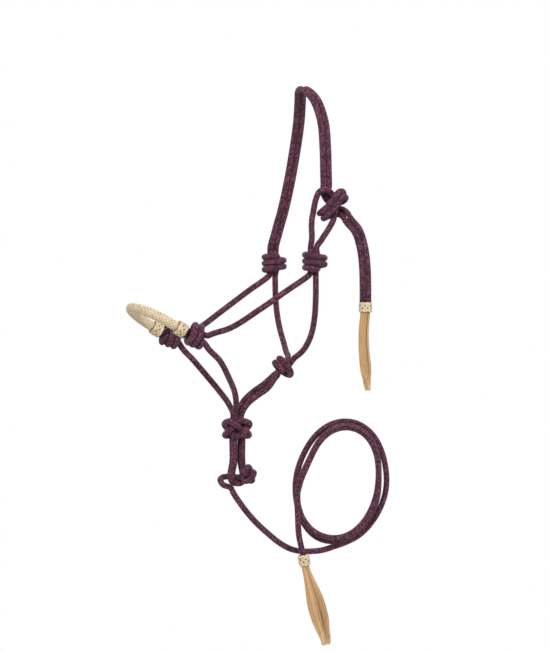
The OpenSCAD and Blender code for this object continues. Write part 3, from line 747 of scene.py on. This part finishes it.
def ribbon(points, normals, width, thick, closed=False):
    """A flat string with a crowned top: vertices, faces and UVs, u across it and v along it."""
    p, n = np.array(points, float), np.array(normals, float)
    if closed:
        t = np.roll(p, -1, 0) - np.roll(p, 1, 0)
    else:
        t = np.gradient(p, axis=0)
    t /= np.linalg.norm(t, axis=1)[:, None]
    w = np.cross(n, t)
    w /= np.linalg.norm(w, axis=1)[:, None]
    shape = np.array(
        [(-0.5, 0.0), (-0.36, 0.72), (0.0, 1.0), (0.36, 0.72), (0.5, 0.0), (0.25, -0.25), (-0.25, -0.25)]
    )
    k = len(shape)
    sideways = w[:, None] * (shape[:, 0] * width)[None, :, None]
    outward = n[:, None] * (shape[:, 1] * thick)[None, :, None]
    verts = (p[:, None] + sideways + outward).reshape(-1, 3)
    m = len(p)
    along = np.concatenate([[0], np.cumsum(np.linalg.norm(np.diff(p, axis=0), axis=1))]) / 1000
    faces, uvs = [], []
    us = np.append((shape[:, 0] + 0.5), 0.0)
    for i in range(m if closed else m - 1):
        i2 = (i + 1) % m
        v0, v1 = along[i], along[i2] if i2 else along[i] + 0.001
        for j in range(k):
            j2 = (j + 1) % k
            faces.append([i * k + j2, i * k + j, i2 * k + j, i2 * k + j2])
            uvs += [(us[j2], v0), (us[j], v0), (us[j], v1), (us[j2], v1)]
    if not closed:
        faces.append(list(range(k)))
        faces.append([(m - 1) * k + j for j in reversed(range(k))])
        uvs += [(0.5, 0.0)] * k + [(0.5, along[-1])] * k
    return verts, faces, uvs


hide_finish, tree, shader = new_finish("natural_rawhide")
uv = node(tree, "ShaderNodeUVMap", uv_map="UVMap").outputs[0]
across_string = node(tree, "ShaderNodeSeparateXYZ", {0: uv}).outputs[0]
from_edge = sums(tree, "SINE", sums(tree, "MULTIPLY", across_string, math.pi))
place = node(tree, "ShaderNodeTexCoord").outputs["Object"]
mottle = noise(tree, place, 160.0, 4.0, 0.65)
pale = noise(tree, place, 420.0, 2.0)
grain = noise(tree, place, 2600.0, 3.0)
# Darkest along each string's edges, where the strings meet and tuck under each other: painted shade between
# the strings.
edge_shade = ramp(
    tree, from_edge, [(0.0, (0.36, 0.21, 0.09)), (0.42, (0.70, 0.55, 0.33)), (0.85, (0.80, 0.70, 0.49))]
)
tone = ramp(tree, mottle, [(0.35, (0.86, 0.76, 0.60)), (0.55, (1.0, 1.0, 1.0)), (0.75, (1.06, 1.08, 1.12))])
hide = blend_colour(tree, "MULTIPLY", 1.0, edge_shade, tone)
specks = ramp(tree, pale, [(0.60, (0, 0, 0)), (0.72, (0.20, 0.22, 0.27))])
tree.links.new(blend_colour(tree, "ADD", 1.0, hide, specks), shader.inputs["Base Color"])
dull = spread_over(tree, mottle, 0.36, 0.62)
tree.links.new(dull, shader.inputs["Roughness"])
bump = node(tree, "ShaderNodeBump", {"Strength": 0.35, "Distance": 0.0002, "Height": grain})
tree.links.new(bump.outputs[0], shader.inputs["Normal"])
shader.inputs["Coat Weight"].default_value = 0.12
shader.inputs["Coat Roughness"].default_value = 0.4
shader.inputs["Subsurface Weight"].default_value = 0.08
shader.inputs["Subsurface Radius"].default_value = (0.004, 0.0025, 0.0012)

shade_finish, tree, shader = new_finish("shaded_rawhide")
place = node(tree, "ShaderNodeTexCoord").outputs["Object"]
mottle = noise(tree, place, 300.0, 3.0)
under = ramp(tree, mottle, [(0.3, (0.30, 0.17, 0.07)), (0.7, (0.46, 0.29, 0.14))])
tree.links.new(under, shader.inputs["Base Color"])
bump = node(tree, "ShaderNodeBump", {"Strength": 0.3, "Distance": 0.0002, "Height": mottle})
tree.links.new(bump.outputs[0], shader.inputs["Normal"])
shader.inputs["Roughness"].default_value = 0.7

braid_r = 15.5 / 2
strings, string_wide, string_thick = 8, 3.7, 0.72
string_deep, weave_lift = 1.15, 0.32
plait_pitch = 2 * math.pi * (braid_r - 0.9)
crossings = 2 * strings / plait_pitch
steps = int(band_len * crossings * 4)
plait = []
for way in (-1, 1):
    for k in range(strings):
        points, normals = [], []
        for s in np.linspace(0, band_len, steps):
            mid, out, _ = band_at(s)
            phi = 2 * math.pi * (k / strings + way * s / plait_pitch)
            n = math.cos(phi) * out + math.sin(phi) * band_up
            r = braid_r - string_deep + way * weave_lift * math.cos(math.pi * s * crossings)
            points.append(mid + r * n)
            normals.append(n)
        plait.append(ribbon(points, normals, string_wide, string_thick))
plait_core = tube(band_line, band_side, -band_side, radius=braid_r - 1.25, sides=24)
braid_cover = mesh_object("noseband_plait", [plait_core, *plait], hide_finish)
braid_cover.data.materials.append(shade_finish)
for face in braid_cover.data.polygons[: len(plait_core[1])]:
    face.material_index = 1
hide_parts("noseband_braid")
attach(braid_cover, "halter")

# ---- Collars ----
# Rawhide rings woven of one string, five leads wide: one at each end of the
# noseband, one round the two tie tails and a rounder one at the lead's end.
LEADS = 5
COLLAR_DEEP, COLLAR_LIFT, COLLAR_THICK = 0.95, 0.3, 0.66


def woven_collar(name, start, axis, node_name, body, radius, length, bights, rounding, string):
    """start is the middle of its first face, in millimetres, and axis the way it points.
    The string, of that width, turns back bights times at each edge of the ring."""
    f = knot_frame(start, axis, [0, 1, 0])
    z_mid = length / 2

    def profile(z):
        x = max(0.0, (abs(z - z_mid) - (z_mid - rounding)) / rounding)
        return radius - COLLAR_DEEP - rounding * 0.62 * (1 - math.sqrt(max(0.0, 1 - min(1.0, x) ** 2)))

    points, normals = [], []
    turn_back = z_mid - string * 0.42
    count = 60 * bights
    dz = 0.05
    for i in range(count):
        t = 2 * math.pi * i / count
        z = z_mid + turn_back * math.cos(bights * t)
        k = (t * bights * LEADS / math.pi) % LEADS
        lift = math.sin(math.pi * (k - 0.5)) if 0.5 < k < LEADS - 0.5 else 0.0
        a = LEADS * t
        slope = (profile(z + dz) - profile(z - dz)) / (2 * dz)
        out = math.cos(a) * f[2] + math.sin(a) * f[3]
        n = unit(out - slope * f[1])
        points.append(f[0] + z * f[1] + profile(z) * out + COLLAR_LIFT * lift * n)
        normals.append(n)
    woven = ribbon(points, normals, string, COLLAR_THICK, closed=True)
    rows = [(z, profile(z) - 0.12) for z in np.linspace(0.25, length - 0.25, 15)]
    hole = radius * 0.45
    rings = [(0.25, hole), *rows, (length - 0.25, hole)]
    sides = 40
    verts, faces, uvs = [], [], []
    for z, r in rings:
        for j in range(sides):
            a = 2 * math.pi * j / sides
            verts.append(f[0] + z * f[1] + r * (math.cos(a) * f[2] + math.sin(a) * f[3]))
    for i in range(len(rings) - 1):
        for j in range(sides):
            j2 = (j + 1) % sides
            faces.append([i * sides + j, i * sides + j2, (i + 1) * sides + j2, (i + 1) * sides + j])
            uvs += [(0, 0)] * 4
    faces.append([j for j in reversed(range(sides))])
    faces.append([(len(rings) - 1) * sides + j for j in range(sides)])
    uvs += [(0, 0)] * (2 * sides)
    made = mesh_object(name, [(np.array(verts), faces, uvs), woven], hide_finish)
    made.data.materials.append(shade_finish)
    for face in made.data.polygons[: len(faces)]:
        face.material_index = 1
    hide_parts(node_name)
    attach(made, body)
    return made


TAIL_COLLAR_LENGTH = 15
LEAD_COLLAR_LENGTH = 17
for side_name, s in (("left", -1), ("right", 1)):
    woven_collar(
        f"noseband_{side_name}_woven_collar", nose_mid + np.array([0, s * nose_r, 0]) + 0.3 * nose_dir,
        nose_dir, f"noseband_collar_{side_name}", "halter",
        radius=11.0, length=nose_collar_len, bights=7, rounding=2.4, string=4.0,
    )
tail_collar = woven_collar(
    "tail_woven_collar", tail_collar_at, DOWN, "tail_collar", "tie_tails",
    radius=10.25, length=TAIL_COLLAR_LENGTH, bights=7, rounding=2.6, string=3.8,
)
lead_collar = woven_collar(
    "lead_woven_collar", lead_collar_at, lead_collar_dir, "lead_collar", "lead",
    radius=9.0, length=LEAD_COLLAR_LENGTH, bights=6, rounding=4.5, string=4.0,
)

# ---- Tassels ----
# Tan horsehair, bound under each collar and hanging free. Brown, darker at the root
# with painted shadow under the collar, paler at the tips, partly its own colour and
# partly painted light through the thin ends, and paler on the outer hairs with painted
# light through the sparse edge. The lead's tassel spreads and leans, the tails' one sways.
hair_finish, tree, shader = new_finish("tan_horsehair")
along_hair = node(tree, "ShaderNodeAttribute", attribute_name="along").outputs["Fac"]
own_tint = node(tree, "ShaderNodeAttribute", attribute_name="tint").outputs["Fac"]
outer = node(tree, "ShaderNodeAttribute", attribute_name="outer").outputs["Fac"]
# Darkest at the root: painted shadow under the collar. Paler towards the tips: partly the hair's own colour,
# partly painted light showing through the thin ends.
hair_root_shade_and_tips = ramp(tree, along_hair, [
    (0.0, (0.34, 0.14, 0.04)), (0.12, (0.53, 0.262, 0.085)), (0.66, (0.57, 0.30, 0.11)),
    (0.82, (0.78, 0.53, 0.26)), (0.97, (1.0, 0.80, 0.52)),
])
# Hairs towards the outside of the bundle are blended towards pale tan: painted light showing through the
# sparse outer hairs.
outer_painted_light = node(tree, "ShaderNodeMapRange", {0: outer, 1: 0.45, 2: 1.0, 3: 0.0, 4: 0.75}).outputs[0]
hair_with_painted_light = blend_colour(tree, "MIX", outer_painted_light, hair_root_shade_and_tips, (0.86, 0.58, 0.29, 1))
by_hair = ramp(
    tree, own_tint, [(0.0, (0.56, 0.50, 0.44)), (0.5, (0.98, 0.97, 0.95)), (1.0, (1.28, 1.34, 1.46))]
)
tree.links.new(blend_colour(tree, "MULTIPLY", 1.0, hair_with_painted_light, by_hair), shader.inputs["Base Color"])
place = node(tree, "ShaderNodeTexCoord").outputs["Object"]
streak = noise(tree, place, 700.0)
dull = spread_over(tree, streak, 0.36, 0.6)
tree.links.new(dull, shader.inputs["Roughness"])
shader.inputs["Sheen Weight"].default_value = 0.15
shader.inputs["Specular IOR Level"].default_value = 0.35


LEVEL = (1.0, 1.0, 0.0)


def stored(tree, hairs, name, value, domain):
    inputs = {"Geometry": hairs, "Name": name, "Value": value}
    return node(tree, "GeometryNodeStoreNamedAttribute", inputs, data_type="FLOAT", domain=domain).outputs[0]


def enabled(made):
    return next(o for o in made.outputs if o.enabled)


def hair_tree():
    """Hairs that stand on a round root, run down, spread to a widest place and close in again."""
    group = bpy.data.node_groups.new("hair_tassel", "GeometryNodeTree")
    face = group.interface
    face.new_socket("Geometry", in_out="OUTPUT", socket_type="NodeSocketGeometry")
    for name, kind in (
        ("Hairs", "NodeSocketInt"), ("Seed", "NodeSocketInt"), ("Root radius", "NodeSocketFloat"),
        ("Length", "NodeSocketFloat"), ("Hair radius", "NodeSocketFloat"), ("Wide", "NodeSocketFloat"),
        ("Widest at", "NodeSocketFloat"), ("Tip", "NodeSocketFloat"), ("Stray", "NodeSocketFloat"),
        ("Hair finish", "NodeSocketMaterial"),
    ):
        face.new_socket(name, in_out="INPUT", socket_type=kind)
    given = group.nodes.new("NodeGroupInput").outputs
    root = node(
        group, "GeometryNodeMeshCircle", {"Vertices": 32, "Radius": given["Root radius"]}, fill_type="NGON"
    )
    area = sums(group, "MULTIPLY", sums(group, "POWER", given["Root radius"], 2.0), math.pi)
    density = sums(group, "DIVIDE", given["Hairs"], area)
    spots = node(
        group, "GeometryNodeDistributePointsOnFaces",
        {"Mesh": root.outputs[0], "Density": density, "Seed": given["Seed"]},
    )
    far_end = node(group, "ShaderNodeCombineXYZ", {"Z": given["Length"]}).outputs[0]
    one = node(group, "GeometryNodeCurvePrimitiveLine", {"End": far_end})
    one = node(group, "GeometryNodeResampleCurve", {"Curve": one.outputs[0], "Count": 11})
    index = node(group, "GeometryNodeInputIndex").outputs[0]
    reach = node(
        group, "FunctionNodeRandomValue", {"Min": 0.76, "Max": 1.0, "ID": index, "Seed": given["Seed"]},
        data_type="FLOAT",
    )
    size = node(group, "ShaderNodeCombineXYZ", {0: 1.0, 1: 1.0, 2: enabled(reach)}).outputs[0]
    stand = node(
        group, "GeometryNodeInstanceOnPoints",
        {"Points": spots.outputs[0], "Instance": one.outputs[0], "Scale": size},
    )
    hairs = node(group, "GeometryNodeRealizeInstances", {0: stand.outputs[0]}).outputs[0]
    tint = node(group, "FunctionNodeRandomValue", {"ID": index, "Seed": 5}, data_type="FLOAT")
    hairs = stored(group, hairs, "tint", enabled(tint), "CURVE")
    where = node(group, "GeometryNodeInputPosition").outputs[0]
    parts = node(group, "ShaderNodeSeparateXYZ", {0: where})
    t = sums(group, "DIVIDE", parts.outputs[2], given["Length"])
    hairs = stored(group, hairs, "along", t, "POINT")
    flat = vectors(group, "MULTIPLY", where, LEVEL)
    from_mid = node(group, "ShaderNodeVectorMath", {0: flat}, operation="LENGTH").outputs["Value"]
    hairs = stored(group, hairs, "outer", sums(group, "DIVIDE", from_mid, given["Root radius"]), "POINT")
    spread = node(
        group, "ShaderNodeMapRange", {0: t, 1: 0.0, 2: given["Widest at"], 3: 1.0, 4: given["Wide"]},
        interpolation_type="SMOOTHSTEP",
    ).outputs[0]
    closing = sums(group, "SUBTRACT", given["Wide"], given["Tip"])
    close = node(
        group, "ShaderNodeMapRange", {0: t, 1: given["Widest at"], 2: 1.05, 3: 0.0, 4: closing},
        interpolation_type="SMOOTHERSTEP",
    ).outputs[0]
    grow = sums(group, "SUBTRACT", sums(group, "SUBTRACT", spread, close), 1.0)
    outward = vectors(group, "SCALE", flat, grow)
    squeeze = vectors(group, "MULTIPLY", where, (420.0, 420.0, 26.0))
    wave = node(group, "ShaderNodeTexNoise", {"Vector": squeeze, "Scale": 1.0, "Detail": 1.0})
    wave = vectors(group, "SUBTRACT", wave.outputs[1], (0.5, 0.5, 0.5))
    wave = vectors(group, "MULTIPLY", wave, LEVEL)
    wave = vectors(group, "SCALE", wave, sums(group, "MULTIPLY", given["Stray"], t))
    move = vectors(group, "ADD", outward, wave)
    hairs = node(group, "GeometryNodeSetPosition", {"Geometry": hairs, "Offset": move}).outputs[0]
    spline_t = node(group, "GeometryNodeSplineParameter").outputs["Factor"]
    fine = node(group, "ShaderNodeMapRange", {0: spline_t, 1: 0.6, 2: 1.0, 3: 1.0, 4: 0.3}).outputs[0]
    hairs = node(group, "GeometryNodeSetCurveRadius", {"Curve": hairs, "Radius": fine}).outputs[0]
    section = node(
        group, "GeometryNodeCurvePrimitiveCircle", {"Resolution": 3, "Radius": given["Hair radius"]},
        mode="RADIUS",
    )
    body = node(
        group, "GeometryNodeCurveToMesh",
        {"Curve": hairs, "Profile Curve": section.outputs[0], "Fill Caps": True},
    )
    body = node(group, "GeometryNodeRealizeInstances", {0: body.outputs[0]}).outputs[0]
    body = node(
        group, "GeometryNodeSetMaterial", {"Geometry": body, "Material": given["Hair finish"]}
    ).outputs[0]
    group.links.new(body, group.nodes.new("NodeGroupOutput").inputs[0])
    return group


hair_group = hair_tree()


def tassel(name, top, axis, body, node_name, bend, **sizes):
    """Runs the hair tree once and lays the result along axis from top, in millimetres.
    The bend is how far the hair sways to the back and how many half waves it makes."""
    seed_mesh = bpy.data.meshes.new(name + "_seed")
    maker = bpy.data.objects.new(name + "_maker", seed_mesh)
    bpy.context.scene.collection.objects.link(maker)
    made_by = maker.modifiers.new("hairs", "NODES")
    made_by.node_group = hair_group
    sizes["Hair finish"] = hair_finish
    for item in hair_group.interface.items_tree:
        if item.in_out == "INPUT":
            made_by[item.identifier] = sizes[item.name]
    depsgraph = bpy.context.evaluated_depsgraph_get()
    mesh = bpy.data.meshes.new_from_object(
        maker.evaluated_get(depsgraph), preserve_all_data_layers=True, depsgraph=depsgraph
    )
    bpy.data.objects.remove(maker)
    f = knot_frame(np.array(top) / 1000, axis, [0, 1, 0])
    place = Matrix([[f[2][i], f[3][i], f[1][i], f[0][i]] for i in range(3)] + [[0, 0, 0, 1]])
    spots = np.empty(3 * len(mesh.vertices))
    mesh.vertices.foreach_get("co", spots)
    down = spots[2::3] / sizes["Length"]
    mesh.transform(place)
    mesh.vertices.foreach_get("co", spots)
    spots[0::3] += bend[0] / 1000 * np.sin(bend[1] * math.pi * down)
    mesh.vertices.foreach_set("co", spots)
    mesh.update()
    mesh.name = name
    obj = bpy.data.objects.new(name, mesh)
    bpy.context.scene.collection.objects.link(obj)
    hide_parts(node_name)
    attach(obj, body)
    return obj


# The hairs are bound SUNK millimetres above the point that they swing about,
# which lies MOUTH below the collar
MOUTH = 4
SUNK = 5
tail_tassel_top = tail_collar_at + (TAIL_COLLAR_LENGTH + MOUTH - SUNK) * DOWN
tail_hair = tassel(
    "tail_tassel_hair", tail_tassel_top, DOWN, "tie_tassel", "tail_tassel", (-3, 1.45),
    Hairs=1900, Seed=11, **{"Root radius": 0.0072, "Length": 0.118, "Hair radius": 0.00028},
    Wide=1.12, Tip=0.62, Stray=0.005, **{"Widest at": 0.7},
)
lead_hair_dir = unit([0.26, 0, -1])
lead_tassel_pivot = lead_collar_at + (LEAD_COLLAR_LENGTH + MOUTH) * lead_collar_dir
lead_hair = tassel(
    "lead_tassel_hair", lead_tassel_pivot - SUNK * lead_hair_dir, lead_hair_dir, "lead_tassel", "lead_tassel",
    (3.6, 0.6),
    Hairs=2300, Seed=4, **{"Root radius": 0.0056, "Length": 0.124, "Hair radius": 0.00028},
    Wide=2.45, Tip=1.25, Stray=0.006, **{"Widest at": 0.55},
)

# ---- Floor and light ----
# A pale studio floor below the halter, and soft light from the front, high on
# the left, with a weaker one on the right.
FLOOR_Z = -0.93
FLOOR_REACH = 0.75
ring_count, spokes = 6, 64
floor_verts = [(0, 0, FLOOR_Z)]
for i in range(1, ring_count + 1):
    for j in range(spokes):
        a = 2 * math.pi * j / spokes
        r = FLOOR_REACH * i / ring_count
        floor_verts.append((r * math.cos(a), r * math.sin(a), FLOOR_Z))
floor_faces = [[0, 1 + j, 1 + (j + 1) % spokes] for j in range(spokes)]
for i in range(ring_count - 1):
    for j in range(spokes):
        a, b = 1 + i * spokes + j, 1 + i * spokes + (j + 1) % spokes
        floor_faces.append([a, a + spokes, b + spokes, b])
floor_mesh = bpy.data.meshes.new("studio_floor")
floor_mesh.from_pydata(floor_verts, [], floor_faces)
floor = bpy.data.objects.new("studio_floor", floor_mesh)
bpy.context.scene.collection.objects.link(floor)
floor_finish, tree, shader = new_finish("pale_floor")
place = node(tree, "ShaderNodeTexCoord").outputs["Object"]
dust = noise(tree, place, 3.0, 2.0)
tree.links.new(
    ramp(tree, dust, [(0.3, (0.80, 0.80, 0.80)), (0.7, (0.84, 0.84, 0.84))]), shader.inputs["Base Color"]
)
shader.inputs["Roughness"].default_value = 0.9
flat_place = vectors(tree, "MULTIPLY", place, LEVEL)
from_mid = node(tree, "ShaderNodeVectorMath", {0: flat_place}, operation="LENGTH").outputs["Value"]
fade = node(
    tree, "ShaderNodeMapRange", {0: from_mid, 1: 0.35, 2: 0.74, 3: 1.0, 4: 0.0},
    interpolation_type="SMOOTHSTEP",
).outputs[0]
tree.links.new(fade, shader.inputs["Alpha"])
floor_mesh.materials.append(floor_finish)

lit_mid = Vector((-0.06, 0, -0.38))
for name, place, size, power, colour in (
    ("key_light", (-1.7, -2.6, 1.5), 1.3, 78, (1.0, 0.98, 0.96)),
    ("side_light", (2.4, -1.9, 0.2), 1.6, 26, (0.97, 0.98, 1.0)),
    ("back_light", (0.6, 2.6, 1.2), 1.6, 34, (1.0, 1.0, 1.0)),
):
    lamp = bpy.data.lights.new(name, "AREA")
    lamp.shape = "DISK"
    lamp.size = size
    lamp.energy = power
    lamp.color = colour
    lit = bpy.data.objects.new(name, lamp)
    lit.location = place
    aim = lit_mid - Vector(place)
    lit.rotation_euler = aim.to_track_quat("-Z", "Y").to_euler()
    bpy.context.scene.collection.objects.link(lit)

world = bpy.data.worlds.new("studio_air")
world.use_nodes = True
tree = world.node_tree
tree.nodes.clear()
path = node(tree, "ShaderNodeLightPath").outputs
mirrored = sums(tree, "MAXIMUM", path["Is Glossy Ray"], path["Is Transmission Ray"])
seen = sums(tree, "MAXIMUM", path["Is Camera Ray"], mirrored)
soft = node(tree, "ShaderNodeBackground", {"Color": (0.93, 0.96, 1.0, 1), "Strength": 0.42}).outputs[0]
white = node(tree, "ShaderNodeBackground", {"Color": (1, 1, 1, 1), "Strength": 1.0}).outputs[0]
air = node(tree, "ShaderNodeMixShader", {0: seen, 1: soft, 2: white}).outputs[0]
tree.links.new(air, node(tree, "ShaderNodeOutputWorld").inputs[0])
bpy.context.scene.world = world
bpy.context.scene.view_settings.view_transform = "Standard"
